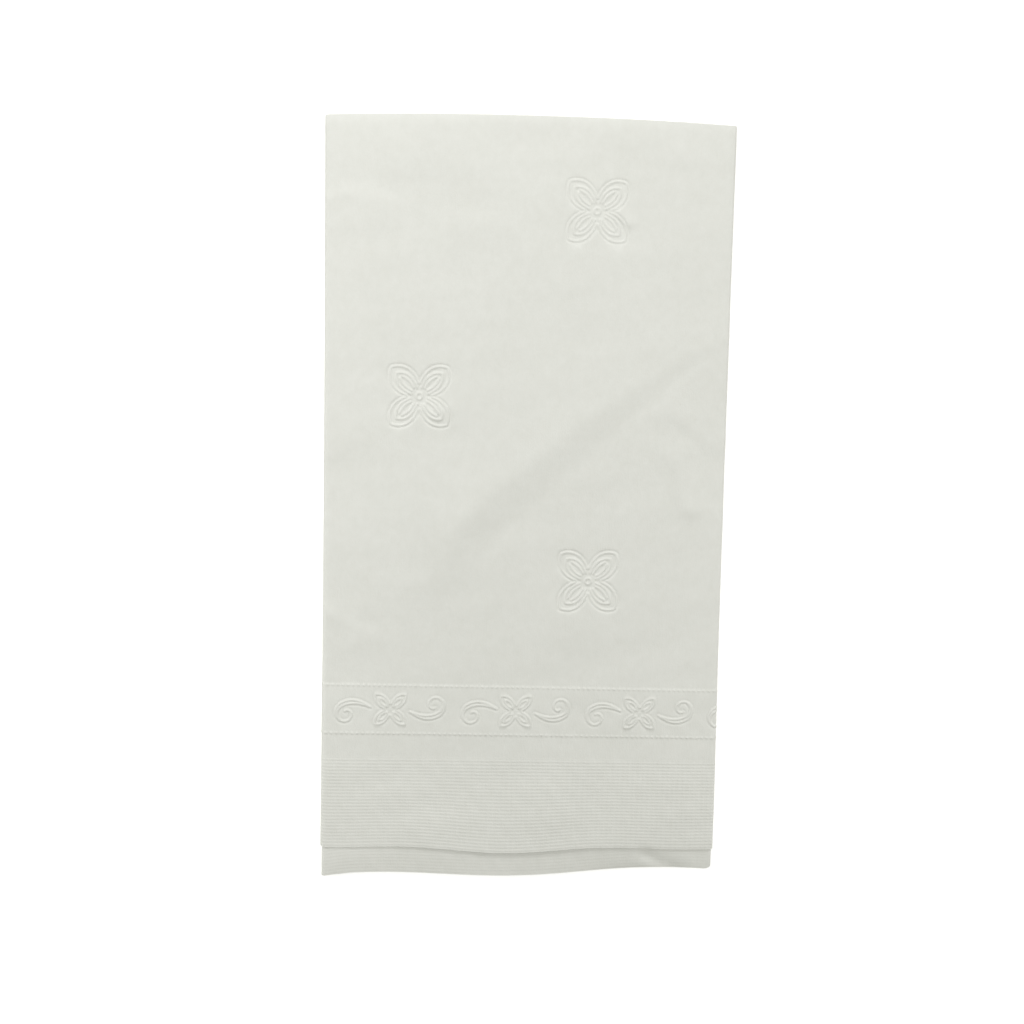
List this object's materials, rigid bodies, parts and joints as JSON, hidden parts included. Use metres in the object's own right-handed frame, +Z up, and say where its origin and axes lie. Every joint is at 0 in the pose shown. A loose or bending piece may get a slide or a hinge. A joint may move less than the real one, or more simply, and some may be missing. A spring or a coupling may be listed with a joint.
{
  "type": "paper napkin",
  "caption": "Folded paper dinner napkin with embossed flowers, a scroll border between dotted lines and a waffle edge.",
  "frame": {"origin": "centre of the bottom of the bounding box, on the surface that the napkin lies on", "axes": "+Z up out of the front face, +Y towards the folded top edge, +X to the right of the front"},
  "size_m": [0.102, 0.193, 0.0031],
  "materials": {
    "paper": "matt, soft, finely creped white two-ply paper with blind embossing"
  },
  "bodies": {
    "root": {"napkin": "paper"}
  },
  "joints": []
}
